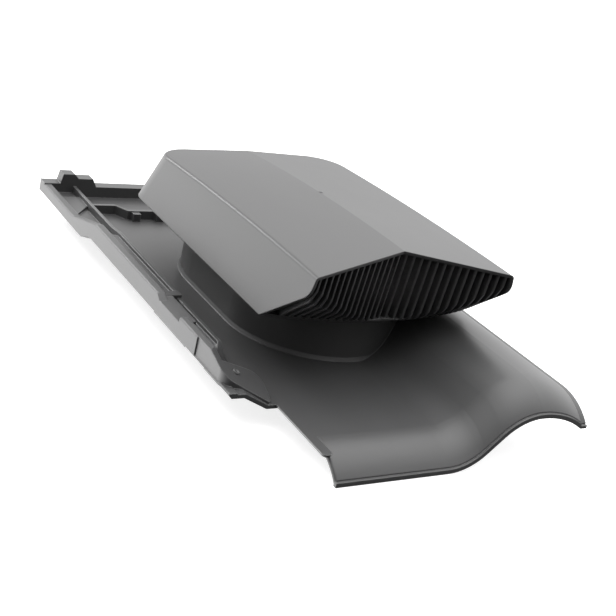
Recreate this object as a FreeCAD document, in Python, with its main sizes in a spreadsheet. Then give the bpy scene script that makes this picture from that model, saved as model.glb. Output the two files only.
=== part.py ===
import FreeCAD, Part
import Sketcher
import math
import os
from types import SimpleNamespace

# A ventilation tile for an interlocking roof, in millimetres.
# While it is drawn, X runs from the outer wall of the side channel, Y from the nose up the slope
# and Z from the nose's lower edge. The finished pieces are then moved to the middle of the footprint.

doc = FreeCAD.newDocument("roof_tile_vent")
dims = doc.addObject("Spreadsheet::Sheet", "Dims")

SIZES = [
    ("tile_width", 260.0, "outer wall of the channel to the tip of the roll's flange"),
    ("tile_length", 470.0, "nose to head wall"),
    ("skin", 3.0, "wall of the tile"),
    ("pan_level", 18.0, "top of the flat pan"),
    ("pan_left", 39.1, "left edge of the pan in front of the channel"),
    ("strip_skin", 2.6, "thickness of the strip left of the nose"),
    ("strip_draft", 1.4, "how far that edge leans in below"),
    ("strip_round", 3.0, "rounding of the strip's front corners"),
    ("nose_left", 46.0, "left end of the turned-down nose"),
    ("flank_run", 74.0, "from the pan's end across the flank to the middle of the roll"),
    ("roll_inset", 47.0, "from the flange's tip to the middle of the roll"),
    ("crest_level", 56.0, "top of the roll"),
    ("hollow_radius", 40.0, "foot of the roll's flank"),
    ("crown_radius", 47.0, "left shoulder of the roll"),
    ("right_radius", 79.0, "right shoulder of the roll"),
    ("flange_width", 6.0, "flange along the roll's right edge"),
    ("flange_drop", 1.6, "step from the roll's edge down to its flange"),
    ("flange_wall", 2.4, "thickness of that flange"),
    ("nose_radius", 44.4, "bend of the nose"),
    ("nose_end", 2.0, "front of the bend, behind the plain band"),
    ("lip_height", 3.4, "plain band along the nose's edge"),
    ("nose_edge", 2.0, "rounding of the nose's left edge"),
    ("strip_front", 11.5, "front end of the strip left of the nose"),
    ("wall_base", 25.0, "underside of the side channel"),
    ("wall_bevel", 2.8, "bevel along the outer wall's lower edge"),
    ("wall_rim", 43.0, "rim of the channel's outer wall"),
    ("wall_width", 6.3, "thickness of that rim"),
    ("rim_bevel", 0.9, "bevel along the rim's outer edge"),
    ("wall_draft", 1.2, "lean of its inner face"),
    ("channel_floor", 28.0, "floor of the side channel"),
    ("rib_at", 29.0, "middle of the rib between channel and pan"),
    ("rib_top", 30.5, "top of that rib"),
    ("rib_half", 1.4, "half width of its top"),
    ("rib_draft", 0.8, "lean of its channel side"),
    ("rib_foot", 1.8, "lean of its pan side"),
    ("rib_fall", 2.0, "how much lower its top is at the head"),
    ("rib_jog", 2.0, "how far the rib stands to the left in front of the dam"),
    ("low_base", 19.6, "underside of the channel at the head"),
    ("low_bevel", 1.0, "bevel along the outer wall's lower edge at the head"),
    ("low_rim", 30.0, "rim of the channel at the head"),
    ("low_floor", 22.4, "floor of the channel at the head"),
    ("channel_front", 77.0, "front end of the channel"),
    ("rib_front", 148.0, "front end of the rib"),
    ("rib_slope", 15.0, "slope at the rib's front end"),
    ("spill_left", 13.5, "where the channel floor starts to fall to the pan"),
    ("spill_right", 33.0, "where that fall ends"),
    ("spout_wall", 118.0, "where the outer wall runs out into the spout"),
    ("spout_side", 97.0, "front end of the spout's straight left side"),
    ("spout_round", 12.0, "rounding of its left corner"),
    ("spout_left", 8.0, "left end of its slanting front edge"),
    ("spout_bend", 85.5, "how far back that end is"),
    ("spout_end", 32.0, "right end of the front edge"),
    ("spout_tip", 4.0, "rounding of the spout's tip"),
    ("spout_right", 37.5, "right side of the spout"),
    ("spout_shoulder", 93.0, "where its right side starts to round"),
    ("spout_turn", 10.0, "rounding of its back corner"),
    ("spout_return", 28.5, "where that rounding ends"),
    ("spout_back", 105.5, "back of the spout"),
    ("spout_step", 0.8, "height of the spout's tip over the pan"),
    ("dip_front", 163.0, "front end of the dip in the rim"),
    ("dip_back", 206.0, "back end of that dip"),
    ("dip_slope", 8.0, "slope at its back end"),
    ("dip_level", 39.0, "floor of the dip"),
    ("dip_width", 14.0, "width of the ledge in the dip"),
    ("step_level", 34.5, "low step in front of that ledge"),
    ("step_front", 150.0, "front end of the low step"),
    ("dam_front", 219.0, "front of the low dam across the channel"),
    ("dam_back", 227.0, "back of that dam"),
    ("dam_level", 33.0, "top of that dam"),
    ("rim_front_inset", 138.0, "from the head to where the rim starts to fall"),
    ("rim_back_inset", 86.0, "from the head to where the rim has fallen"),
    ("base_front_inset", 125.0, "from the head to where the underside starts to fall"),
    ("base_back_inset", 107.0, "from the head to where the underside has fallen"),
    ("pad_level", 25.0, "top of the pad in the channel's head"),
    ("pad_back_inset", 29.0, "from the head to the back of that pad"),
    ("pad_right_inset", 49.0, "from the head to the right end of its slanting front"),
    ("pad_left_inset", 72.0, "from the head to the left end of its slanting front"),
    ("head_wall", 11.5, "thickness of the folded head wall"),
    ("head_rise", 10.5, "height of the head wall over the tile"),
    ("corner_top", 31.0, "top of the head wall at the channel's corner"),
    ("tab_left", 15.0, "left foot of the tall tab"),
    ("tab_draft", 2.0, "lean of that side"),
    ("tab_right", 28.0, "right end of the tall tab's top"),
    ("tab_top", 40.0, "top of the tall tab"),
    ("shoulder_left", 32.0, "left end of the shoulder beside that tab"),
    ("shoulder_top", 36.0, "top of the shoulder"),
    ("shoulder_run", 4.0, "slope from the shoulder down to the head wall's rim"),
    ("cross_inset", 64.0, "from the head to the front of the cross rib"),
    ("jog_depth", 12.0, "how far its left end stands back"),
    ("jog_left", 54.0, "left end of the slant in the cross rib"),
    ("jog_run", 7.0, "width of that slant"),
    ("tooth_first", 65.0, "left side of the first tooth of the cross rib"),
    ("tooth_pitch", 23.0, "from tooth to tooth"),
    ("tooth_width", 7.0, "width of a tooth"),
    ("tooth_depth", 5.5, "how far a tooth stands forward"),
    ("cross_rise", 8.5, "height of that rib over the tile"),
    ("cross_wall", 3.0, "thickness of that rib"),
    ("collar_radius", 72.5, "round ends of the collar, outside"),
    ("collar_offset", 5.5, "middle of the collar, up the slope from the middle of the tile"),
    ("collar_straight", 75.0, "straight length of the collar's sides"),
    ("collar_wall", 3.0, "wall of the collar"),
    ("cove_out", 2.6, "foot of the rounding between collar and pan"),
    ("cove_up", 3.0, "height of that rounding"),
    ("seat_level", 62.0, "top of the collar, underside of the hood"),
    ("hood_offset", 6.0, "middle plane of hood and collar, right of the middle of the tile"),
    ("hood_half", 95.0, "half width of the hood at its foot"),
    ("hood_draft", 10.3, "how far a side wall leans in over wall_height"),
    ("wall_height", 63.0, "height over which the hood's walls lean"),
    ("hood_wall", 2.5, "wall of the hood"),
    ("hood_reach", 130.5, "from the collar's middle to the hood's back at its foot"),
    ("back_lean", 29.0, "how far the back wall leans in over wall_height"),
    ("corner_radius", 28.0, "back corners of the hood"),
    ("eave_reach", 161.5, "from the collar's middle to the front corners of the hood's roof"),
    ("ridge_reach", 135.5, "from there to the front end of the ridge"),
    ("front_reach", 180.5, "from there forward to the front station of the roof's levels"),
    ("mid_reach", 20.5, "from there forward to the middle station"),
    ("back_reach", 139.5, "from there back to the back station"),
    ("ridge_low", 120.0, "ridge at the front station"),
    ("ridge_mid", 118.3, "ridge at the middle station"),
    ("ridge_high", 105.0, "ridge at the back station"),
    ("eave_low", 111.8, "roof edge at the front station"),
    ("eave_mid", 111.2, "roof edge at the middle station"),
    ("eave_high", 103.7, "roof edge at the back station"),
    ("edge_radius", 3.0, "rounding along the roof's edge"),
    ("eave_half", 87.0, "half width at which the roof edge levels hold"),
    ("soffit_corner", 114.0, "from the collar's middle to the soffit's front corners"),
    ("soffit_reach", 130.5, "from there to the middle of the soffit's bowed front"),
    ("slat_count", 28.0, "slats in the mouth"),
    ("slat_pitch", 6.05, "from slat to slat"),
    ("slat_width", 1.7, "thickness of a slat"),
    ("slat_reach", 104.5, "from the collar's middle to the slats' back edges"),
    ("slat_inset", 0.8, "how far the slats stand back in the mouth"),
    ("slat_drop", 1.2, "how far their tops stand below the roof"),
    ("spigot_depth", 8.0, "reach of the hood's spigot into the collar"),
    ("spigot_gap", 0.3, "play round the spigot"),
    ("spigot_wall", 2.0, "wall of the spigot"),
    ("batten_inset", 32.0, "from the head to the front of the hanging rib"),
    ("batten_wall", 4.0, "thickness of the hanging rib"),
]


class Size:
    """A length: its value now and its formula on the sheet of sizes."""

    def __init__(self, value, text):
        self.value = value
        self.text = text

    def join(self, other, sign, value):
        return Size(value, "(%s %s %s)" % (self.text, sign, other.text))

    def __add__(self, other):
        other = as_size(other)
        return self.join(other, "+", self.value + other.value)

    def __sub__(self, other):
        other = as_size(other)
        return self.join(other, "-", self.value - other.value)

    def __mul__(self, other):
        other = as_size(other)
        return self.join(other, "*", self.value * other.value)

    def __truediv__(self, other):
        other = as_size(other)
        return self.join(other, "/", self.value / other.value)

    def root(self):
        return Size(math.sqrt(self.value), "sqrt(%s)" % self.text)

    def __radd__(self, other):
        return as_size(other) + self

    def __rsub__(self, other):
        return as_size(other) - self

    def __rmul__(self, other):
        return as_size(other) * self


def as_size(value):
    if isinstance(value, Size):
        return value
    number = "%.6f" % abs(value)
    return Size(float(value), number if value >= 0 else "(0 - %s)" % number)


for row, (alias, value, note) in enumerate(SIZES, 1):
    dims.set("A%d" % row, alias)
    dims.set("B%d" % row, "%g" % value)
    dims.set("C%d" % row, note)
    dims.setAlias("B%d" % row, alias)
doc.recompute()
d = SimpleNamespace(**{alias: Size(value, "Dims." + alias) for alias, value, note in SIZES})

# Places that follow from the sizes
d.crest_at = d.tile_width - d.roll_inset
d.pan_end = d.crest_at - d.flank_run
d.roll_edge = d.tile_width - d.flange_width
d.cross_rib = d.tile_length - d.cross_inset
d.batten_rib = d.tile_length - d.batten_inset
d.hood_middle = d.tile_width / 2 + d.hood_offset
d.collar_middle = d.tile_length / 2 + d.collar_offset
d.collar_front = d.collar_middle - d.collar_straight / 2
d.collar_back = d.collar_middle + d.collar_straight / 2
d.hood_back = d.collar_middle + d.hood_reach
d.eave_front = d.collar_middle - d.eave_reach
d.ridge_front = d.collar_middle - d.ridge_reach
d.station_front = d.collar_middle - d.front_reach
d.station_mid = d.collar_middle - d.mid_reach
d.station_back = d.collar_middle + d.back_reach
d.bow_corner = d.collar_middle - d.soffit_corner
d.bow_front = d.collar_middle - d.soffit_reach
d.slat_back = d.collar_middle - d.slat_reach

Vector = FreeCAD.Vector
PLANES = {
    "XY": FreeCAD.Rotation(),
    "XZ": FreeCAD.Rotation(Vector(1, 0, 0), 90),
    "YZ": FreeCAD.Rotation(Vector(1, 1, 1), 120),
}
ACROSS = {"XY": "z", "XZ": "y", "YZ": "x"}
# Sketches start this far outside the part, so that every distance in them is positive.
MARGIN = 200.0
# Shapes that are only cut with, or cut away, run this far past the part.
BEYOND = 100.0
# Solids that are joined run this far into each other.
OVERLAP = 1.0


# Sketch helpers

def new_sketch(name, plane, offset):
    sketch = doc.addObject("Sketcher::SketchObject", name)
    base = Vector(-MARGIN, -MARGIN, -MARGIN)
    setattr(base, ACROSS[plane], as_size(offset).value)
    sketch.Placement = FreeCAD.Placement(base, PLANES[plane])
    sketch.setExpression("Placement.Base." + ACROSS[plane], as_size(offset).text)
    return sketch


def hold(sketch, kind, size, *where):
    """Adds one measured constraint and ties it to its formula."""
    number = sketch.addConstraint(Sketcher.Constraint(kind, *where, size.value))
    sketch.setExpression("Constraints[%d]" % number, size.text)


def pin_x(sketch, shape, end, x):
    hold(sketch, "DistanceX", as_size(x) + MARGIN, -1, 1, shape, end)


def pin_y(sketch, shape, end, y):
    hold(sketch, "DistanceY", as_size(y) + MARGIN, -1, 1, shape, end)


def local(x, y):
    return Vector(as_size(x).value + MARGIN, as_size(y).value + MARGIN, 0)


def polygon(name, plane, offset, points):
    """A closed outline, drawn anticlockwise, with every corner held by its two coordinates.

    A third number at a corner is the radius of an arc that leads to it; a fourth, -1, bends it inwards.
    """
    sketch = new_sketch(name, plane, offset)
    corners = [local(x, y) for x, y, *bend in points]
    count = len(points)
    ends = []
    for i, (x, y, *bend) in enumerate(points):
        start, end = corners[i - 1], corners[i]
        side = bend[1] if len(bend) > 1 else 1
        ends.append((1, 2) if side == 1 else (2, 1))
        if bend:
            chord = end - start
            radius = bend[0].value
            sag = radius - math.sqrt(radius ** 2 - (chord.Length / 2) ** 2)
            outwards = Vector(chord.y, -chord.x, 0).normalize()
            sketch.addGeometry(Part.Arc(start, (start + end) / 2 + outwards * sag * side, end), False)
            hold(sketch, "Radius", bend[0], i)
        else:
            sketch.addGeometry(Part.LineSegment(start, end), False)
        pin_x(sketch, i, ends[i][1], x)
        pin_y(sketch, i, ends[i][1], y)
    for i in range(count):
        after = (i + 1) % count
        sketch.addConstraint(Sketcher.Constraint("Coincident", i, ends[i][1], after, ends[after][0]))
    return sketch


def arc(centre, radius, start, end):
    """An arc from start to end, anticlockwise, angles in degrees."""
    circle = Part.Circle(centre, Vector(0, 0, 1), radius)
    return Part.ArcOfCircle(circle, math.radians(start), math.radians(end))


def stadium(name, level, radius):
    """The collar's oblong outline at a level."""
    sketch = new_sketch(name, "XY", level)
    radius = as_size(radius)
    front = local(d.hood_middle, d.collar_front)
    back = local(d.hood_middle, d.collar_back)
    side = Vector(radius.value, 0, 0)
    sketch.addGeometry([
        arc(front, radius.value, 180, 360),
        Part.LineSegment(front + side, back + side),
        arc(back, radius.value, 0, 180),
        Part.LineSegment(back - side, front - side),
    ], False)
    for first, second in ((0, 1), (1, 2), (2, 3), (3, 0)):
        sketch.addConstraint(Sketcher.Constraint("Tangent", first, 2, second, 1))
    pin_x(sketch, 0, 3, d.hood_middle)
    pin_y(sketch, 0, 3, d.collar_front)
    pin_y(sketch, 2, 3, d.collar_back)
    sketch.addConstraint(Sketcher.Constraint("Vertical", 1))
    hold(sketch, "Radius", radius, 0)
    return sketch


def rounded_back(name, level, half, front, back, radius):
    """The hood's outline at a level: square at the front, round corners at the back."""
    sketch = new_sketch(name, "XY", level)
    half, front, back, radius = (as_size(v) for v in (half, front, back, radius))
    left = d.hood_middle - half
    right = d.hood_middle + half
    sketch.addGeometry([
        Part.LineSegment(local(left, front), local(right, front)),
        Part.LineSegment(local(right, front), local(right, back - radius)),
        arc(local(right - radius, back - radius), radius.value, 0, 90),
        Part.LineSegment(local(right - radius, back), local(left + radius, back)),
        arc(local(left + radius, back - radius), radius.value, 90, 180),
        Part.LineSegment(local(left, back - radius), local(left, front)),
    ], False)
    for first, second in ((1, 2), (2, 3), (3, 4), (4, 5)):
        sketch.addConstraint(Sketcher.Constraint("Tangent", first, 2, second, 1))
    sketch.addConstraint(Sketcher.Constraint("Coincident", 0, 2, 1, 1))
    sketch.addConstraint(Sketcher.Constraint("Coincident", 5, 2, 0, 1))
    pin_x(sketch, 0, 1, left)
    pin_y(sketch, 0, 1, front)
    pin_x(sketch, 0, 2, right)
    pin_y(sketch, 0, 2, front)
    sketch.addConstraint(Sketcher.Constraint("Vertical", 1))
    sketch.addConstraint(Sketcher.Constraint("Horizontal", 3))
    sketch.addConstraint(Sketcher.Constraint("Vertical", 5))
    pin_y(sketch, 3, 1, back)
    hold(sketch, "Radius", radius, 2)
    hold(sketch, "Radius", radius, 4)
    return sketch


def flank_angle():
    """Slope of the straight part of the roll's flank."""
    across = d.crest_at.value - d.pan_end.value
    up = d.crest_level.value - d.crown_radius.value - d.pan_level.value - d.hollow_radius.value
    reach = (d.hollow_radius.value + d.crown_radius.value) / math.hypot(across, up)
    return math.atan2(up, across) + math.asin(reach)


FLANK = flank_angle()


class Chain:
    """Line, arc, line, arc, arc along the tile's top: pan, foot, flank and the roll's two shoulders.

    It starts at left, is let down by drop, and lies depth below the tile's top.
    """

    def __init__(self, sketch, left, drop, depth):
        left, drop, depth = as_size(left), as_size(drop), as_size(depth)
        slope = math.degrees(FLANK)
        level = d.pan_level - drop - depth
        crest = d.crest_level - drop - depth
        hollow_radius = d.hollow_radius + depth
        crown_radius = d.crown_radius - depth
        right_radius = d.right_radius - depth
        reach = (d.roll_edge - d.crest_at).value
        turn = math.degrees(math.acos(reach / right_radius.value))
        hollow = arc(local(d.pan_end, level + hollow_radius), hollow_radius.value, 270, 270 + slope)
        crown = arc(local(d.crest_at, crest - crown_radius), crown_radius.value, 90, 90 + slope)
        right = arc(local(d.crest_at, crest - right_radius), right_radius.value, turn, 90)
        shapes = [
            Part.LineSegment(local(left, level), hollow.StartPoint),
            hollow,
            Part.LineSegment(hollow.EndPoint, crown.EndPoint),
            crown,
            right,
        ]
        first = sketch.addGeometry(shapes, False)[0]
        for one, one_end, two, two_end in ((0, 2, 1, 1), (1, 2, 2, 1), (2, 2, 3, 2), (3, 1, 4, 2)):
            sketch.addConstraint(Sketcher.Constraint("Tangent", first + one, one_end, first + two, two_end))
        sketch.addConstraint(Sketcher.Constraint("Horizontal", first))
        pin_x(sketch, first, 1, left)
        pin_y(sketch, first, 1, level)
        pin_x(sketch, first + 1, 1, d.pan_end)
        pin_x(sketch, first + 3, 3, d.crest_at)
        pin_y(sketch, first + 3, 3, crest - crown_radius)
        pin_x(sketch, first + 3, 1, d.crest_at)
        pin_x(sketch, first + 4, 1, d.roll_edge)
        hold(sketch, "Radius", hollow_radius, first + 1)
        hold(sketch, "Radius", crown_radius, first + 3)
        hold(sketch, "Radius", right_radius, first + 4)
        self.sketch = sketch
        self.left_end = (first, 1)
        self.right_end = (first + 4, 1)
        self.left_point = shapes[0].StartPoint
        self.right_point = right.StartPoint


def join(sketch, points, start, end):
    """Straight lines from one open end to another, over points that are held by their coordinates."""
    corners = [start[1]] + [local(x, y) for x, y in points] + [end[1]]
    lines = [Part.LineSegment(a, b) for a, b in zip(corners, corners[1:])]
    first = sketch.addGeometry(lines, False)[0]
    sketch.addConstraint(Sketcher.Constraint("Coincident", first, 1, *start[0]))
    for step, (x, y) in enumerate(points):
        sketch.addConstraint(Sketcher.Constraint("Coincident", first + step, 2, first + step + 1, 1))
        pin_x(sketch, first + step, 2, x)
        pin_y(sketch, first + step, 2, y)
    sketch.addConstraint(Sketcher.Constraint("Coincident", first + len(points), 2, *end[0]))


def tile_section(name, y, left, drop, thick):
    """The tile's section at y, let down by drop: pan, flank, roll and the flange at the roll's edge."""
    sketch = new_sketch(name, "XZ", y)
    top = Chain(sketch, left, drop, 0.0)
    low = Chain(sketch, left, drop, thick)
    reach = d.roll_edge - d.crest_at
    edge = d.crest_level - drop - d.right_radius + (d.right_radius * d.right_radius - reach * reach).root()
    step = edge - d.flange_drop
    flange = [(d.roll_edge, step), (d.tile_width, step), (d.tile_width, step - d.flange_wall)]
    join(sketch, flange, (top.right_end, top.right_point), (low.right_end, low.right_point))
    join(sketch, [], (low.left_end, low.left_point), (top.left_end, top.left_point))
    return sketch


def ridge_section(name, y, left, rise):
    """A rib that follows the tile, from inside its wall to rise above it."""
    sketch = new_sketch(name, "XZ", y)
    top = Chain(sketch, left, 0.0, as_size(0.0) - rise)
    low = Chain(sketch, left, 0.0, d.skin / 2)
    join(sketch, [], (top.right_end, top.right_point), (low.right_end, low.right_point))
    join(sketch, [], (low.left_end, low.left_point), (top.left_end, top.left_point))
    return sketch


def under_section(name, y, left, floor, depth):
    """Everything from depth below the tile's top down to floor."""
    sketch = new_sketch(name, "XZ", y)
    top = Chain(sketch, left, 0.0, depth)
    join(sketch, [(d.roll_edge, floor), (left, floor)],
         (top.right_end, top.right_point), (top.left_end, top.left_point))
    return sketch


# Solid helpers

def extrude(name, sketch, direction, length):
    solid = doc.addObject("Part::Extrusion", name)
    solid.Base = sketch
    solid.DirMode = "Custom"
    solid.Dir = Vector(*direction)
    solid.LengthFwd = as_size(length).value
    solid.Solid = True
    solid.setExpression("LengthFwd", as_size(length).text)
    return solid


def loft(name, sketches, ruled):
    solid = doc.addObject("Part::Loft", name)
    solid.Sections = sketches
    solid.Solid = True
    solid.Ruled = ruled
    return solid


def fuse(name, solids):
    result = doc.addObject("Part::MultiFuse", name)
    result.Shapes = solids
    result.Refine = True
    return result


def common(name, solids):
    result = doc.addObject("Part::MultiCommon", name)
    result.Shapes = solids
    result.Refine = True
    return result


def cut(name, base, tool):
    result = doc.addObject("Part::Cut", name)
    result.Base = base
    result.Tool = tool
    result.Refine = True
    return result


def rounding(name, base, radii):
    """Rounds edges of base: radii gives an edge's two end radii, or None to leave it sharp."""
    doc.recompute()
    chosen = [(number, *radii(edge)) for number, edge in enumerate(base.Shape.Edges, 1) if radii(edge)]
    result = doc.addObject("Part::Fillet", name)
    result.Base = base
    result.Edges = chosen
    return result


def middle_of(edge):
    return edge.valueAt((edge.FirstParameter + edge.LastParameter) / 2)


def box(name, low, high):
    """A block between two corners."""
    block = doc.addObject("Part::Box", name)
    for axis, prop, a, b in zip("xyz", ("Length", "Width", "Height"), low, high):
        a, b = as_size(a), as_size(b)
        setattr(block, prop, (b - a).value)
        block.setExpression(prop, (b - a).text)
        block.setExpression("Placement.Base." + axis, a.text)
    return block


# Base tile: the sheet of pan, flank and roll

NOSE_ANGLE = math.radians(46)
nose_start = d.nose_radius * math.sin(NOSE_ANGLE) + d.nose_end
pan_sheet = extrude("pan_sheet", tile_section("pan_section", nose_start, d.nose_left, 0, d.skin),
                    (0, 1, 0), d.tile_length - nose_start)

# The nose is the same section let down along a bend
nose_sections = []
STEPS = 5
for step in range(STEPS + 1):
    angle = NOSE_ANGLE * step / STEPS
    nose_sections.append(tile_section("nose_section_%d" % step, nose_start - d.nose_radius * math.sin(angle),
                                      d.nose_left, d.nose_radius * (1 - math.cos(angle)),
                                      d.skin / math.cos(angle)))
nose_bend = loft("nose_bend", nose_sections, False)


def nose_radii(edge):
    """Only the upper edge of the nose's left end is rounded."""
    at_left = edge.BoundBox.XMax < d.nose_left.value + OVERLAP
    long = edge.BoundBox.YLength > d.nose_radius.value / 2
    on_top = edge.BoundBox.ZMax > d.pan_level.value - OVERLAP
    return (d.nose_edge.value, d.nose_edge.value) if at_left and long and on_top else None


nose = rounding("nose", nose_bend, nose_radii)

# The plain band along its edge
lip = extrude("lip", tile_section("lip_section", 0, d.nose_left, d.pan_level - d.lip_height, d.lip_height),
              (0, 1, 0), d.nose_end + OVERLAP)

# The strip left of the nose, with a round corner and a leaning edge

def strip_outline(name, level, lean):
    left = d.pan_left + lean
    front = d.strip_front + lean
    right = d.nose_left + OVERLAP
    back = d.tile_length - d.head_wall
    return polygon(name, "XY", level, [
        (left + d.strip_round, front, d.strip_round), (right - d.strip_round, front),
        (right, front + d.strip_round, d.strip_round), (right, back), (left, back),
        (left, front + d.strip_round),
    ])


strip = loft("strip", [strip_outline("strip_foot", d.pan_level - d.strip_skin, d.strip_draft),
                       strip_outline("strip_top", d.pan_level, as_size(0.0))], True)

# The side channel: outer wall, floor and rib, low at the head

def channel_section(name, y, bevel, base, rim, floor, rib, jog):
    rib_left = d.rib_at - d.rib_half - jog
    rib_right = d.rib_at + d.rib_half - jog
    return polygon(name, "XZ", y, [
        (bevel, base), (0.0, base + bevel), (0.0, rim - d.rim_bevel), (d.rim_bevel, rim),
        (d.wall_width, rim), (d.wall_width + d.wall_draft, floor), (rib_left - d.rib_draft, floor),
        (rib_left, rib), (rib_right, rib), (rib_right + d.rib_foot, d.pan_level), (d.nose_left, d.pan_level),
        (d.nose_left, d.pan_level - d.skin), (d.rib_at, d.pan_level - d.skin), (d.rib_at - d.skin, base),
    ])


def spill_section(name, y, rim):
    """In front of the rib the channel floor falls sideways to the pan."""
    run = d.spill_right - d.spill_left
    fall = d.channel_floor - d.pan_level
    return polygon(name, "XZ", y, [
        (d.wall_bevel, d.wall_base), (0.0, d.wall_base + d.wall_bevel), (0.0, rim - d.rim_bevel),
        (d.rim_bevel, rim), (d.wall_width, rim), (d.wall_width + d.wall_draft, d.channel_floor),
        (d.spill_left, d.channel_floor), (d.spill_left + run / 3, d.channel_floor - fall / 3),
        (d.spill_right - run / 3, d.pan_level + fall / 3), (d.spill_right, d.pan_level),
        (d.nose_left, d.pan_level), (d.nose_left, d.pan_level - d.skin),
        (d.spill_right - OVERLAP, d.pan_level - d.skin), (d.spill_left - OVERLAP, d.wall_base),
    ])


front_part = (d.wall_bevel, d.wall_base, d.wall_rim, d.channel_floor, d.rib_top, d.rib_jog)
back_part = (d.wall_bevel, d.wall_base, d.wall_rim, d.channel_floor, d.rib_top, as_size(0.0))
low_rib = d.rib_top - d.rib_fall
head_part = (d.low_bevel, d.low_base, d.low_rim, d.low_floor, low_rib, as_size(0.0))
rim_front = d.tile_length - d.rim_front_inset
rim_back = d.tile_length - d.rim_back_inset
base_front = d.tile_length - d.base_front_inset
base_back = d.tile_length - d.base_back_inset


def rim_at(y):
    """The rim's level on its straight fall towards the head."""
    return d.wall_rim - (d.wall_rim - d.low_rim) * (y - rim_front) / (rim_back - rim_front)


plate_rim = d.channel_floor + d.rim_bevel
spill = extrude("spill", spill_section("spill_outline", d.channel_front, plate_rim),
                (0, 1, 0), d.rib_front - d.rib_slope - d.channel_front)
rib_end = loft("rib_end", [spill_section("rib_end_low", d.rib_front - d.rib_slope, d.wall_rim),
                           channel_section("rib_end_high", d.rib_front, *front_part)], True)
channel_low_end = extrude("channel_low_end", channel_section("channel_front_part", d.rib_front, *front_part),
                          (0, 1, 0), d.dam_front - d.rib_front)
channel_jog = loft("channel_jog", [channel_section("jog_start", d.dam_front, *front_part),
                                   channel_section("jog_end", d.dam_back, *back_part)], True)
channel = extrude("channel", channel_section("channel_back_part", d.dam_back, *back_part),
                  (0, 1, 0), rim_front - d.dam_back)
ramp = loft("ramp", [
    channel_section("ramp_start", rim_front, *back_part),
    channel_section("ramp_step", base_front, d.wall_bevel, d.wall_base, rim_at(base_front),
                    d.channel_floor, d.rib_top, as_size(0.0)),
    channel_section("ramp_foot", base_back, d.low_bevel, d.low_base, rim_at(base_back),
                    d.low_floor, low_rib, as_size(0.0)),
    channel_section("ramp_end", rim_back, *head_part),
], True)
channel_head = extrude("channel_head", channel_section("channel_low", rim_back, *head_part),
                       (0, 1, 0), d.tile_length - rim_back)

# The outer wall in front of the rib, up to where it runs out into the spout
front_wall = box("front_wall", (d.rim_bevel, d.spout_wall - OVERLAP, d.wall_base + d.wall_bevel),
                 (d.wall_width, d.rib_front - d.rib_slope, d.wall_rim))

# The spout: a rounded block with a slanting top, which turns the channel's water onto the pan
spout_front = d.channel_front + OVERLAP / 2
spout_block = extrude("spout_block", polygon("spout_outline", "XY", d.pan_level - d.skin / 2, [
    (d.rim_bevel, d.spout_wall), (d.rim_bevel, d.spout_side), (d.spout_left, d.spout_bend, d.spout_round),
    (d.spout_end, spout_front), (d.spout_end + d.spout_tip, spout_front + d.skin, d.spout_tip),
    (d.spout_right, d.spout_shoulder), (d.spout_return, d.spout_back, d.spout_turn),
    (d.wall_width, d.spout_back), (d.wall_width, d.spout_wall),
]), (0, 0, 1), d.wall_rim - d.pan_level + d.skin / 2)

# Its top falls to the right and towards the nose, from the rim to the pan
TOP_FALL = 0.37
TOP_CLIMB = 0.302
top_right = d.tile_width / 4
top_left_level = d.pan_level + d.spout_step + d.spout_right * TOP_FALL
top_right_level = top_left_level - top_right * TOP_FALL
spout_above = extrude("spout_above", polygon("spout_above_outline", "XZ", d.channel_front, [
    (0.0, top_left_level), (top_right, top_right_level), (top_right, top_right_level + BEYOND),
    (0.0, top_left_level + BEYOND),
]), (0, 1, TOP_CLIMB), d.spout_wall - d.channel_front + OVERLAP)
spout_below = extrude("spout_below", polygon("spout_below_outline", "XZ", d.channel_front, [
    (0.0, d.wall_base + OVERLAP), (d.spill_left, d.wall_base + OVERLAP),
    (d.spill_right, d.pan_level - d.skin + OVERLAP), (top_right, d.pan_level - d.skin + OVERLAP),
    (top_right, -BEYOND), (0.0, -BEYOND),
]), (0, 1, 0), d.spout_wall - d.channel_front + OVERLAP)
spout_slanted = cut("spout_slanted", spout_block, spout_above)
spout = cut("spout", spout_slanted, spout_below)

# A dip in the rim with a ledge beside it, a lower step and a low dam across the channel
dip = extrude("dip", polygon("dip_outline", "YZ", -OVERLAP, [
    (d.dip_front, d.dip_level), (d.dip_back - d.dip_slope, d.dip_level), (d.dip_back, d.wall_rim + OVERLAP),
    (d.dip_back, d.wall_rim + BEYOND), (d.dip_front, d.wall_rim + BEYOND),
]), (1, 0, 0), d.dip_width + OVERLAP)
inside = d.wall_base + OVERLAP
ledge = box("ledge", (d.rim_bevel, d.dip_front, inside), (d.dip_width, d.dip_back, d.dip_level))
step = box("step", (d.rim_bevel, d.step_front, inside), (d.dip_width, d.dip_front, d.step_level))
dam = box("dam", (d.wall_width, d.dam_front, inside), (d.rib_at, d.dam_back, d.dam_level))

# The pad in the channel's head, with a slanting front
wall_foot = d.wall_width - OVERLAP
pad = extrude("pad", polygon("pad_outline", "XY", d.low_base + OVERLAP, [
    (wall_foot, d.tile_length - d.pad_left_inset), (d.wall_width + d.skin, d.tile_length - d.pad_left_inset),
    (d.rib_at, d.tile_length - d.pad_right_inset), (d.rib_at, d.tile_length - d.pad_back_inset),
    (wall_foot, d.tile_length - d.pad_back_inset),
]), (0, 0, 1), d.pad_level - d.low_base - OVERLAP)

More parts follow.
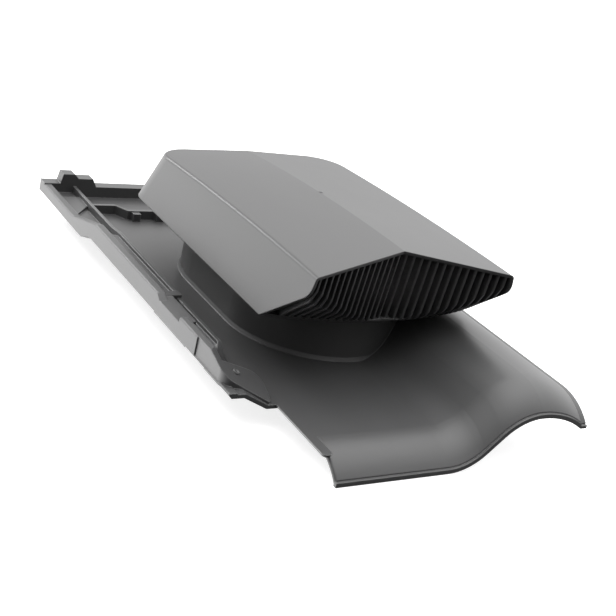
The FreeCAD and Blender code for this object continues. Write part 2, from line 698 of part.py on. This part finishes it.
# The head wall with its stepped tabs: a fold that is open below
head = extrude("head", ridge_section("head_outline", d.tile_length - d.head_wall, d.nose_left, d.head_rise),
               (0, 1, 0), d.head_wall)
tabs = extrude("tabs", polygon("tabs_outline", "XZ", d.tile_length - d.head_wall, [
    (0.0, d.low_base + OVERLAP), (0.0, d.corner_top), (d.tab_left, d.corner_top),
    (d.tab_left + d.tab_draft, d.tab_top), (d.tab_right, d.tab_top), (d.shoulder_left, d.shoulder_top),
    (d.nose_left, d.shoulder_top), (d.nose_left + d.shoulder_run, d.pan_level + d.head_rise),
    (d.nose_left + d.shoulder_run, d.pan_level - OVERLAP), (d.rib_at, d.pan_level - OVERLAP),
]), (0, 1, 0), d.head_wall)
slot_front = d.tile_length - d.head_wall + d.skin
slot_width = d.head_wall - d.skin * 2
slot_left = d.nose_left + d.shoulder_run
roll_slot = extrude("roll_slot", under_section("roll_slot_outline", slot_front, slot_left, -BEYOND,
                                               d.skin - d.head_rise), (0, 1, 0), slot_width)
slot_end = box("slot_end", (slot_left, slot_front - OVERLAP, -BEYOND),
               (d.roll_edge - d.skin, d.tile_length, d.crest_level + BEYOND))
roll_slot_closed = common("roll_slot_closed", [roll_slot, slot_end])
tab_slot = extrude("tab_slot", polygon("tab_slot_outline", "XZ", slot_front, [
    (d.skin, -BEYOND), (d.skin, d.corner_top - d.skin), (d.tab_left + d.skin, d.corner_top - d.skin),
    (d.tab_left + d.tab_draft + d.skin, d.tab_top - d.skin), (d.tab_right - OVERLAP, d.tab_top - d.skin),
    (d.shoulder_left - OVERLAP, d.shoulder_top - d.skin), (d.nose_left - OVERLAP, d.shoulder_top - d.skin),
    (slot_left - OVERLAP, d.pan_level + d.head_rise - d.skin),
    (slot_left + OVERLAP, d.pan_level + d.head_rise - d.skin), (slot_left + OVERLAP, -BEYOND),
]), (0, 1, 0), slot_width)
head_slot = fuse("head_slot", [roll_slot_closed, tab_slot])

# The cross rib in front of it, set back at its left end
jog_right = d.jog_left + d.jog_run
cross = extrude("cross", ridge_section("cross_outline", d.cross_rib, jog_right, d.cross_rise),
                (0, 1, 0), d.cross_wall)
set_back = d.cross_rib + d.jog_depth
cross_left = extrude("cross_left", polygon("cross_left_outline", "XY", d.pan_level - d.skin / 2, [
    (d.rib_at, set_back), (d.jog_left, set_back), (jog_right, d.cross_rib),
    (jog_right + OVERLAP, d.cross_rib), (jog_right + OVERLAP, d.cross_rib + d.cross_wall),
    (d.jog_left, set_back + d.cross_wall), (d.rib_at, set_back + d.cross_wall),
]), (0, 0, 1), d.cross_rise + d.skin / 2)

# Teeth in front of the cross rib, over the flat of the pan
teeth = []
tooth_count = int((d.pan_end - d.tooth_first).value // d.tooth_pitch.value)
for number in range(tooth_count):
    tooth_left = d.tooth_first + d.tooth_pitch * number
    tooth_top = d.pan_level + d.cross_rise - OVERLAP
    tooth_front = d.cross_rib - d.tooth_depth
    teeth.append(box("tooth_%d" % number, (tooth_left, tooth_front, d.pan_level - d.skin / 2),
                     (tooth_left + d.tooth_width, d.cross_rib + OVERLAP, tooth_top)))

# The hanging rib under the head
batten = extrude("batten", under_section("batten_outline", d.batten_rib, d.nose_left, 0.0, d.skin / 2),
                 (0, 1, 0), d.batten_wall)

# The collar: an oblong wall from the tile's underside to the hood, open right through
collar_wall = extrude("collar_wall", stadium("collar_outline", d.pan_level - d.skin, d.collar_radius),
                      (0, 0, 1), d.seat_level - d.pan_level + d.skin)
below = extrude("below", under_section("below_outline", 0.0, 0.0, -BEYOND, d.skin / 2),
                (0, 1, 0), d.tile_length)
collar_trim = cut("collar_trim", collar_wall, below)
cove = loft("cove", [stadium("cove_foot", d.pan_level - OVERLAP, d.collar_radius + d.cove_out),
                     stadium("cove_low", d.pan_level + d.cove_up / 6, d.collar_radius + d.cove_out / 2),
                     stadium("cove_high", d.pan_level + d.cove_up, d.collar_radius)], True)
cove_trim = cut("cove_trim", cove, below)
throat = extrude("throat", stadium("throat_outline", -BEYOND, d.collar_radius - d.collar_wall),
                 (0, 0, 1), d.seat_level + 2 * BEYOND)
channel_solid = fuse("channel_solid", [spill, rib_end, channel_low_end, channel_jog, channel, ramp,
                                       channel_head, front_wall])
channel_dipped = cut("channel_dipped", channel_solid, dip)
tile_solid = fuse("tile_solid", [pan_sheet, nose, lip, strip, channel_dipped, spout, ledge, step, dam, pad,
                                 head, tabs, cross, cross_left, batten, collar_trim, cove_trim] + teeth)
tile_folded = cut("tile_folded", tile_solid, head_slot)
base_tile = cut("base_tile", tile_folded, throat)

# Hood: drafted walls with round back corners

# The roof and the mouth's faces are drawn this much wider than the walls, which trim them.
WIDER = 1.1
wide = d.hood_half * WIDER


def walls(name, inset, floor):
    """The block inside the hood's walls, drawn in by inset, from floor up."""
    def outline(label, level):
        share = (level - d.seat_level) / d.wall_height
        return rounded_back(name + label, level, d.hood_half - inset - d.hood_draft * share,
                            0.0, d.hood_back - inset - d.back_lean * share, d.corner_radius - inset)
    top = d.seat_level + d.wall_height
    return loft(name, [outline("_foot", as_size(floor)), outline("_top", top)], True)


def roof(name, inset):
    """Everything under the roof, let down by inset: smooth through three stations."""
    stations = (("_front", d.station_front, d.ridge_low, d.eave_low),
                ("_mid", d.station_mid, d.ridge_mid, d.eave_mid),
                ("_back", d.station_back, d.ridge_high, d.eave_high))
    sections = []
    for label, y, ridge, eave in stations:
        edge = ridge - (ridge - eave) * wide / d.eave_half
        left = d.hood_middle - wide
        right = d.hood_middle + wide
        sections.append(polygon(name + label, "XZ", y, [
            (left, 0.0), (left, edge - inset), (d.hood_middle, ridge - inset),
            (right, edge - inset), (right, 0.0),
        ]))
    return loft(name, sections, False)


def roof_edge_radii(edge):
    """The edge where the roof meets the side and back walls."""
    middle = middle_of(edge)
    on_roof = middle.z > (d.seat_level + d.eave_high).value / 2
    off_ridge = abs(middle.x - d.hood_middle.value) > OVERLAP
    behind_front = edge.BoundBox.YMax > d.ridge_front.value
    return (d.edge_radius.value, d.edge_radius.value) if on_roof and off_ridge and behind_front else None


# The mouth's upper face is a V in plan and leans back a little towards the foot.
# Its lower face is bowed in plan and slants strongly back, and the crease between them is rounded,
# more and more towards the sides.
LEAN = math.tan(math.radians(5))
SLANT = 1.19
CREASE_SHARE = 0.2
UPPER_RUN = math.hypot(LEAN, 1)
LOWER_RUN = math.hypot(SLANT, 1)
HALF_TURN = math.tan((math.atan(SLANT) - math.atan(LEAN)) / 2)
sag = d.bow_corner - d.bow_front
bow_radius = (d.hood_half * d.hood_half + sag * sag) / (2 * sag)


def mouth_section(name, x, reach, rounded):
    """What lies in front of the mouth in the plane x, at reach from the hood's middle."""
    upper = d.ridge_front - (d.ridge_front - d.eave_front) * reach / d.eave_half
    lower = d.bow_front + bow_radius - (bow_radius * bow_radius - reach * reach).root()
    level = (lower - upper + d.seat_level * SLANT - d.ridge_low * LEAN) / (SLANT - LEAN)
    crease = upper + (d.ridge_low - level) * LEAN
    rise = (level - d.seat_level) * CREASE_SHARE
    run = (rise * rise + d.edge_radius * d.edge_radius / 9).root()
    bend = (run * (1 / HALF_TURN), -1) if rounded else ()
    foot = d.seat_level / 2
    top = d.ridge_low + BEYOND
    return polygon(name, "YZ", x, [
        (-BEYOND, foot), (lower + (d.seat_level - foot) * SLANT, foot),
        (crease + run * (SLANT / LOWER_RUN), level - run * (1 / LOWER_RUN)),
        (crease - run * (LEAN / UPPER_RUN), level + run * (1 / UPPER_RUN)) + bend,
        (upper + (d.ridge_low - top) * LEAN, top), (-BEYOND, top),
    ])


def mouth_half(name, side, rounded):
    """One side of the mouth, smooth from the hood's middle to past its wall."""
    sections = []
    for station, share in enumerate((0.0, 0.35, 0.7, WIDER)):
        reach = d.hood_half * share
        x = d.hood_middle + reach * side
        sections.append(mouth_section("%s_%d" % (name, station), x, reach, rounded))
    return loft(name, sections, False)


def open_block(name, rounded):
    """The hood's block behind its mouth, with the crease rounded or flattened."""
    half_open = cut(name + "_half", hood_round, mouth_half(name + "_left", -1, rounded))
    return cut(name, half_open, mouth_half(name + "_right", 1, rounded))


hood_block = common("hood_block", [walls("outer_walls", as_size(0.0), d.seat_level),
                                   roof("outer_roof", as_size(0.0))])
hood_round = rounding("hood_round", hood_block, roof_edge_radii)
hood_solid = open_block("hood_solid", True)
cavity = common("cavity", [walls("inner_walls", d.hood_wall, d.seat_level + d.skin),
                           roof("inner_roof", d.hood_wall)])
hood_shell = cut("hood_shell", hood_solid, cavity)

# The slats, one and then the row
first_slat = d.hood_middle - d.slat_pitch * ((d.slat_count - 1) / 2)
slats = []
for number in range(int(d.slat_count.value)):
    left = first_slat + d.slat_pitch * number - d.slat_width / 2
    slats.append(box("slat_%02d" % number, (left, 0.0, d.seat_level + d.skin / 2),
                     (left + d.slat_width, d.slat_back, d.seat_level + BEYOND)))
slat_row = doc.addObject("Part::Compound", "slat_row")
slat_row.Links = slats
sunk = doc.addObject("Part::Compound", "sunk")
sunk.Links = [open_block("slat_room", False)]
sunk.setExpression("Placement.Base.y", d.slat_inset.text)
sunk.setExpression("Placement.Base.z", (as_size(0.0) - d.slat_drop).text)
grille = common("grille", [slat_row, sunk])
hood_closed = fuse("hood_closed", [hood_shell, grille])

# The way through the soffit, and the short spigot that centres the hood in the collar
spigot_radius = d.collar_radius - d.collar_wall - d.spigot_gap
spigot_block = extrude("spigot_block", stadium("spigot_outline", d.seat_level - d.spigot_depth,
                                               spigot_radius), (0, 0, 1), d.spigot_depth + d.skin / 2)
soffit_way = extrude("soffit_way", stadium("soffit_way_outline", d.seat_level - BEYOND,
                                           spigot_radius - d.spigot_wall), (0, 0, 1), BEYOND + d.skin)
hood_seated = fuse("hood_seated", [hood_closed, spigot_block])
hood = cut("hood", hood_seated, soffit_way)

# Finished pieces, moved to the middle of the footprint

os.makedirs("parts", exist_ok=True)
for node, solid in (("base_tile", base_tile), ("hood", hood)):
    solid.Label = node
    solid.setExpression("Placement.Base.x", (as_size(0.0) - d.tile_width / 2).text)
    solid.setExpression("Placement.Base.y", (as_size(0.0) - d.tile_length / 2).text)
doc.recompute()

for item in doc.Objects:
    if "Invalid" in item.State or "Error" in item.State:
        raise RuntimeError("%s did not build: %s" % (item.Label, item.State))
    shape = getattr(item, "Shape", None)
    if shape is not None and not shape.isNull() and not shape.isValid():
        raise RuntimeError("%s has a faulty shape" % item.Label)

for solid in (base_tile, hood):
    shape = solid.Shape
    print(solid.Label, "solids", len(shape.Solids), "volume", round(shape.Volume), shape.BoundBox)
    shape.exportStep("parts/%s.step" % solid.Label)
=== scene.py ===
import math

import bpy
from mathutils import Matrix, Vector


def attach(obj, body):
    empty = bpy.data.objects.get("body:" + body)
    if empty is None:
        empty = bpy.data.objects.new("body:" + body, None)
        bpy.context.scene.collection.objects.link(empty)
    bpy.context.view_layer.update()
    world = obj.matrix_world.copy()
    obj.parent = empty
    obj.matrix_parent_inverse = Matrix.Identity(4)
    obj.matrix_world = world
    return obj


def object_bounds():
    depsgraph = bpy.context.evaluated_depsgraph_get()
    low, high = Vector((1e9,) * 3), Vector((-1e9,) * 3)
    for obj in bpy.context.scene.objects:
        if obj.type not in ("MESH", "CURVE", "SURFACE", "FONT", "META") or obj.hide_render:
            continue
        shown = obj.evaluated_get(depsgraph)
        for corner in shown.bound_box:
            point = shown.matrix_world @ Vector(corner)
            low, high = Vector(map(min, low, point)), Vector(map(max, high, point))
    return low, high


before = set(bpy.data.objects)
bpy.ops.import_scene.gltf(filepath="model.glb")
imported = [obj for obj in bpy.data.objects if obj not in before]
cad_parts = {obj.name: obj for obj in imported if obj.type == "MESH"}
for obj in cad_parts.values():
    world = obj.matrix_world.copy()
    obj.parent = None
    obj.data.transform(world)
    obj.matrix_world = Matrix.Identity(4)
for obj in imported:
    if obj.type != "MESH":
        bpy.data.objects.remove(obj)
cad_low, cad_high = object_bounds()


# Base tile: one injection moulding in through-dyed dark grey polypropylene.
# The mould is spark-eroded, which leaves an even, very fine grain and a satin sheen.
# Flow marks run up the slope from the gate. The edges are painted paler, partly as wear from
# handling and partly as a painted highlight along the rounded rims.

class Socket:
    """A shader value that adds its Math nodes as it is used in an expression."""

    def __init__(self, finish, output):
        self.finish = finish
        self.output = output

    def maths(self, operation, first, second):
        return self.finish.node("ShaderNodeMath", {"operation": operation}, {0: first, 1: second})

    def __add__(self, other):
        return self.maths("ADD", self, other)

    def __radd__(self, other):
        return self.maths("ADD", other, self)

    def __sub__(self, other):
        return self.maths("SUBTRACT", self, other)

    def __rsub__(self, other):
        return self.maths("SUBTRACT", other, self)

    def __mul__(self, other):
        return self.maths("MULTIPLY", self, other)

    def __rmul__(self, other):
        return self.maths("MULTIPLY", other, self)

    def limited(self):
        """The value kept between 0 and 1."""
        return self.finish.node("ShaderNodeClamp", {}, {"Value": self})


class Finish:
    """The node tree of a material or of the room, with one method that adds any node."""

    def __init__(self, owner):
        self.owner = owner
        self.owner.use_nodes = True
        self.tree = self.owner.node_tree
        self.tree.nodes.clear()

    def node(self, kind, settings, values, output=0):
        """Any node: its settings come first, then the values or links of its sockets."""
        made = self.tree.nodes.new(kind)
        for key, value in settings.items():
            setattr(made, key, value)
        for key, value in values.items():
            if isinstance(value, Socket):
                self.tree.links.new(value.output, made.inputs[key])
            else:
                made.inputs[key].default_value = value
        return Socket(self, made.outputs[output] if made.outputs else None)

    def between(self, factor, first, second):
        """A colour between two others."""
        colours = {"Factor": factor, 6: first, 7: second}
        return self.node("ShaderNodeMix", {"data_type": "RGBA"}, colours, 2)

    def agreement(self, first, second):
        """How far two directions agree, from -1 to 1."""
        return self.node("ShaderNodeVectorMath", {"operation": "DOT_PRODUCT"},
                         {0: first, 1: second}, "Value")


# Flow marks and clouds are counted per metre, and the marks are drawn out along the slope.
FLOW_MARKS = 34.0
FLOW_DETAIL = 4.0
FLOW_STRETCH = (1.0, 0.16, 1.0)
CLOUDS = 8.0
CLOUD_DETAIL = 3.0
GRAIN_DETAIL = 2.0
PITS_PER_GRAIN = 0.6

# The dye varies by this share. An edge is painted paler at least by the second share, partly as
# wear and partly as a painted highlight.
DYE_SPREAD = 0.12
LEAST_WEAR_AND_HIGHLIGHT = 0.3
EDGE_GAIN = 4.0
EDGE_SAMPLES = 6

# Each of these makes the surface duller or shinier where its pattern is strong.
SHEEN_START = -0.06
CLOUD_DULLING = 0.08
FLOW_DULLING = 0.04
GRAIN_DULLING = 0.04
EDGE_POLISH = 0.06

# The spark-eroded grain is a few hundredths of a millimetre deep.
GRAIN_SHARE = 0.7
GRAIN_STRENGTH = 0.2
GRAIN_DEPTH = 0.00006
PLASTIC_IOR = 1.5


def opaque(colour, share=1.0):
    """A colour as a socket takes it, made darker or paler by a share."""
    return tuple(channel * share for channel in colour) + (1.0,)


def moulded_plastic(name, grey, edge_wear_and_highlight, roughness, grain_size, edge_radius):
    """Satin moulded plastic: fine grain, soft flow marks, cloudy gloss, and edges painted paler
    as wear and as a painted highlight.
    """
    finish = Finish(bpy.data.materials.new(name))
    place = finish.node("ShaderNodeTexCoord", {}, {}, "Object")
    drawn_out = finish.node("ShaderNodeMapping", {}, {"Vector": place, "Scale": FLOW_STRETCH})
    flow = finish.node("ShaderNodeTexNoise", {}, {
        "Vector": drawn_out, "Scale": FLOW_MARKS, "Detail": FLOW_DETAIL})
    cloud = finish.node("ShaderNodeTexNoise", {}, {
        "Vector": place, "Scale": CLOUDS, "Detail": CLOUD_DETAIL})
    grain = finish.node("ShaderNodeTexNoise", {}, {
        "Vector": place, "Scale": 1 / grain_size, "Detail": GRAIN_DETAIL})
    pits = finish.node("ShaderNodeTexVoronoi", {}, {
        "Vector": place, "Scale": PITS_PER_GRAIN / grain_size})
    softened = finish.node("ShaderNodeBevel", {"samples": EDGE_SAMPLES}, {"Radius": edge_radius})
    plain = finish.node("ShaderNodeNewGeometry", {}, {}, "Normal")
    edge = (EDGE_GAIN * (1 - finish.agreement(softened, plain))).limited()
    dyed = finish.between(0.5 * (cloud + flow),
                          opaque(grey, 1 - DYE_SPREAD), opaque(grey, 1 + DYE_SPREAD))
    # Edges blend towards the paler colour: partly wear from handling, partly a painted highlight
    # along the rims.
    tint = finish.between(edge * (LEAST_WEAR_AND_HIGHLIGHT + (1 - LEAST_WEAR_AND_HIGHLIGHT) * cloud), dyed, opaque(edge_wear_and_highlight))
    gloss = (roughness + SHEEN_START + CLOUD_DULLING * cloud + FLOW_DULLING * flow
             + GRAIN_DULLING * grain - EDGE_POLISH * edge)
    relief = finish.node("ShaderNodeBump", {}, {
        "Strength": GRAIN_STRENGTH, "Distance": GRAIN_DEPTH,
        "Height": GRAIN_SHARE * grain + (1 - GRAIN_SHARE) * pits, "Normal": softened})
    surface = finish.node("ShaderNodeBsdfPrincipled", {}, {
        "Base Color": tint, "Roughness": gloss, "Normal": relief, "IOR": PLASTIC_IOR})
    finish.node("ShaderNodeOutputMaterial", {}, {"Surface": surface})
    return finish.owner


TILE_GREY = (0.045, 0.045, 0.0455)
# Edge colour of the tile, four times paler than its grey: partly wear, partly a painted highlight
# on the rims.
TILE_EDGE_WEAR_AND_HIGHLIGHT = (0.18, 0.18, 0.181)
TILE_ROUGHNESS = 0.42
TILE_GRAIN = 0.0007
TILE_EDGE = 0.0011
base_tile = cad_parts["base_tile"]
base_tile.material_slots[0].material = moulded_plastic(
    "tile_plastic_finish", TILE_GREY, TILE_EDGE_WEAR_AND_HIGHLIGHT, TILE_ROUGHNESS, TILE_GRAIN, TILE_EDGE)


# Ring on the spout: the witness of an ejector sleeve, a low round rim with a sunk middle.
# It is part of the tile's moulding, with crisp edges, and stands a millimetre proud of the spout.

MARK_SIDES = 32


def turned_mark(name, carrier, x, y, profile, material, slot):
    """A small round mark, turned about the normal of the surface that carries it at x, y."""
    bpy.context.view_layer.update()
    above = (x, y, 2 * cad_high.z)
    down = (0, 0, -1)
    seat, normal = carrier.ray_cast(above, down)[1:3]
    points = []
    for radius, height in profile:
        for side in range(MARK_SIDES):
            angle = 2 * math.pi * side / MARK_SIDES
            points.append((radius * math.cos(angle), radius * math.sin(angle), height))
    inner_cap = tuple(range(MARK_SIDES))
    outer_cap = tuple(reversed(range(len(points) - MARK_SIDES, len(points))))
    faces = [inner_cap, outer_cap]
    for start in range(0, len(points) - MARK_SIDES, MARK_SIDES):
        outwards = start + MARK_SIDES
        for side in range(MARK_SIDES):
            after = (side + 1) % MARK_SIDES
            faces.append((start + after, start + side, outwards + side, outwards + after))
    mesh = bpy.data.meshes.new(name)
    mesh.from_pydata(points, [], faces)
    mesh.transform(Matrix.Translation(seat) @ normal.to_track_quat("Z", "X").to_matrix().to_4x4())
    mesh.shade_smooth()
    mesh.materials.append(material)
    piece = bpy.data.objects.new(name, mesh)
    bpy.context.scene.collection.objects.link(piece)
    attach(piece, "root")


SPOUT_RING_PLACE = (-0.1150, -0.1372)
SPOUT_RING_EDGE = 0.0002
# Radius and height of each step, from the middle outwards
SPOUT_RING_PROFILE = [
    (0.0004, 0.0001), (0.0014, 0.0001), (0.0018, 0.001), (0.0026, 0.001), (0.0031, -0.0006)]
ring_plastic = moulded_plastic(
    "spout_ring_finish", TILE_GREY, TILE_EDGE_WEAR_AND_HIGHLIGHT, TILE_ROUGHNESS, TILE_GRAIN, SPOUT_RING_EDGE)
turned_mark("spout_ring", base_tile, *SPOUT_RING_PLACE, SPOUT_RING_PROFILE,
            ring_plastic, "tile_plastic")


# Hood: a second moulding of the same plastic, set on the collar with its spigot.
# Its mould is finer, so it is a shade glossier than the tile, and the slats are part of it.
# Its edges lie under the eaves or are rounded, so they are painted only a shade paler: faint wear
# and a faint painted highlight.

HOOD_GREY = (0.045, 0.045, 0.0455)
# Edge colour of the hood, barely paler than its grey: faint wear plus a faint painted highlight.
HOOD_EDGE_WEAR_AND_HIGHLIGHT = (0.05, 0.05, 0.0505)
HOOD_ROUGHNESS = 0.4
HOOD_GRAIN = 0.0006
HOOD_EDGE = 0.0011
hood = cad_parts["hood"]
hood.material_slots[0].material = moulded_plastic(
    "hood_plastic_finish", HOOD_GREY, HOOD_EDGE_WEAR_AND_HIGHLIGHT, HOOD_ROUGHNESS, HOOD_GRAIN, HOOD_EDGE)


# Gate mark: the small dimple on the hood's ridge where the plastic was let into the mould.
# It is part of the hood's moulding, 4 mm across, with a rim a third of a millimetre high.

GATE_MARK_PLACE = (0.0076, -0.0084)
GATE_MARK_PROFILE = [
    (0.0003, 0.00005), (0.0009, 0.00005), (0.0013, 0.0003), (0.0017, 0.0003), (0.0022, -0.0004)]
turned_mark("gate_mark", hood, *GATE_MARK_PLACE, GATE_MARK_PROFILE,
            hood.material_slots[0].material, "hood_plastic")


# Floor: a very wide white sheet, lit through from below as on a light table.
# Shadows on it stay faint, and it throws no light back on the tile, which is lit on its own.

FLOOR_HALF = 60.0
FLOOR_GAP = 0.0004
FLOOR_WHITE = (0.5, 0.5, 0.5)
FLOOR_ROUGHNESS = 0.9
FLOOR_GLOW_COLOUR = (1, 1, 1)
FLOOR_GLOW = 0.75
floor_level = cad_low.z - FLOOR_GAP
corners = [(-FLOOR_HALF, -FLOOR_HALF, floor_level), (FLOOR_HALF, -FLOOR_HALF, floor_level),
           (FLOOR_HALF, FLOOR_HALF, floor_level), (-FLOOR_HALF, FLOOR_HALF, floor_level)]
sheet = bpy.data.meshes.new("floor")
sheet.from_pydata(corners, [], [range(len(corners))])
floor = bpy.data.objects.new("floor", sheet)
floor.visible_diffuse = False
floor.visible_glossy = False
floor.visible_shadow = False
bpy.context.scene.collection.objects.link(floor)
white_sheet = Finish(bpy.data.materials.new("white_sheet"))
glowing = white_sheet.node("ShaderNodeBsdfPrincipled", {}, {
    "Base Color": opaque(FLOOR_WHITE), "Roughness": FLOOR_ROUGHNESS,
    "Emission Color": opaque(FLOOR_GLOW_COLOUR), "Emission Strength": FLOOR_GLOW})
white_sheet.node("ShaderNodeOutputMaterial", {}, {"Surface": glowing})
sheet.materials.append(white_sheet.owner)


# Studio light: a white room, bright overhead, low behind on the left and behind on the right.
# Its front is nearly black low down, and two large softboxes brighten the left and right sides.
# A small softbox behind on the left draws bright lines along the rounded edges.

OVERHEAD = (0, 0, 1)
OVERHEAD_STRENGTH = 4.3
BEHIND = (0, 1, 0)
FRONT_FALL = 1.3
# Where each further glow comes from, and how strong it is
LOW_BEHIND_LEFT = ((-0.55, 0.7, -0.45), 4.5)
BEHIND_RIGHT = ((0.7, 0.6, 0.4), 1.5)
RIGHT = ((1, 0, 0), 0.9)
HIGH_FRONT = ((0.25, -0.45, 0.86), 1.1)

room = Finish(bpy.data.worlds.new("white_room"))
direction = room.node("ShaderNodeTexCoord", {}, {}, "Generated")


def glow(towards, strength):
    """Soft light from one part of the room, strongest straight towards it."""
    inside = room.agreement(direction, towards).limited()
    return strength * inside * inside * inside


black_front = (1 + FRONT_FALL * room.agreement(direction, BEHIND)).limited()
brightness = glow(OVERHEAD, OVERHEAD_STRENGTH) * black_front
for towards, strength in (LOW_BEHIND_LEFT, BEHIND_RIGHT, RIGHT, HIGH_FRONT):
    brightness = brightness + glow(towards, strength)
backdrop = room.node("ShaderNodeBackground", {}, {"Color": brightness})
room.node("ShaderNodeOutputWorld", {}, {"Surface": backdrop})
bpy.context.scene.world = room.owner


def softbox(name, place, aim, width, height, power):
    """A rectangular lamp at one place, turned to face another."""
    lamp = bpy.data.lights.new(name, "AREA")
    lamp.shape = "RECTANGLE"
    lamp.size = width
    lamp.size_y = height
    lamp.energy = power
    holder = bpy.data.objects.new(name, lamp)
    holder.location = place
    holder.rotation_euler = (Vector(aim) - Vector(place)).to_track_quat("-Z", "Y").to_euler()
    bpy.context.scene.collection.objects.link(holder)


TILE_MIDDLE = (0, 0, 0.05)
HOOD_LEFT_EDGE = (-0.06, 0, 0.08)
softbox("softbox_left", place=(-1.6, 0.9, 0.6), aim=TILE_MIDDLE, width=1.0, height=0.8, power=4.5)
softbox("softbox_right", place=(1.8, 0.4, 0.6), aim=TILE_MIDDLE, width=1.2, height=0.6, power=2.0)
softbox("softbox_behind", place=(-0.6, 1.25, 0.75), aim=HOOD_LEFT_EDGE,
        width=0.25, height=0.25, power=9.0)


# Camera: set where the photograph was taken from, and rolled as it was held.
# Its lens has the photograph's perspective, with the picture's width in pixels as the measure.

CAMERA_PLACE = (-0.50365, -0.74624, 0.39236)
CAMERA_RIGHT = Vector((0.84399, -0.48900, 0.22037))
CAMERA_UP = Vector((0.02227, 0.44246, 0.89651))
FOCAL_PIXELS = 1179.1
PICTURE_PIXELS = 616
SENSOR_WIDTH = 36.0
lens = bpy.data.cameras.new("camera")
lens.sensor_width = SENSOR_WIDTH
lens.lens = FOCAL_PIXELS / PICTURE_PIXELS * SENSOR_WIDTH
camera = bpy.data.objects.new("camera", lens)
turn = Matrix((CAMERA_RIGHT, CAMERA_UP, CAMERA_RIGHT.cross(CAMERA_UP))).transposed()
camera.matrix_world = Matrix.Translation(CAMERA_PLACE) @ turn.to_4x4()
bpy.context.scene.collection.objects.link(camera)
bpy.context.scene.camera = camera
bpy.context.scene.view_settings.view_transform = "Standard"
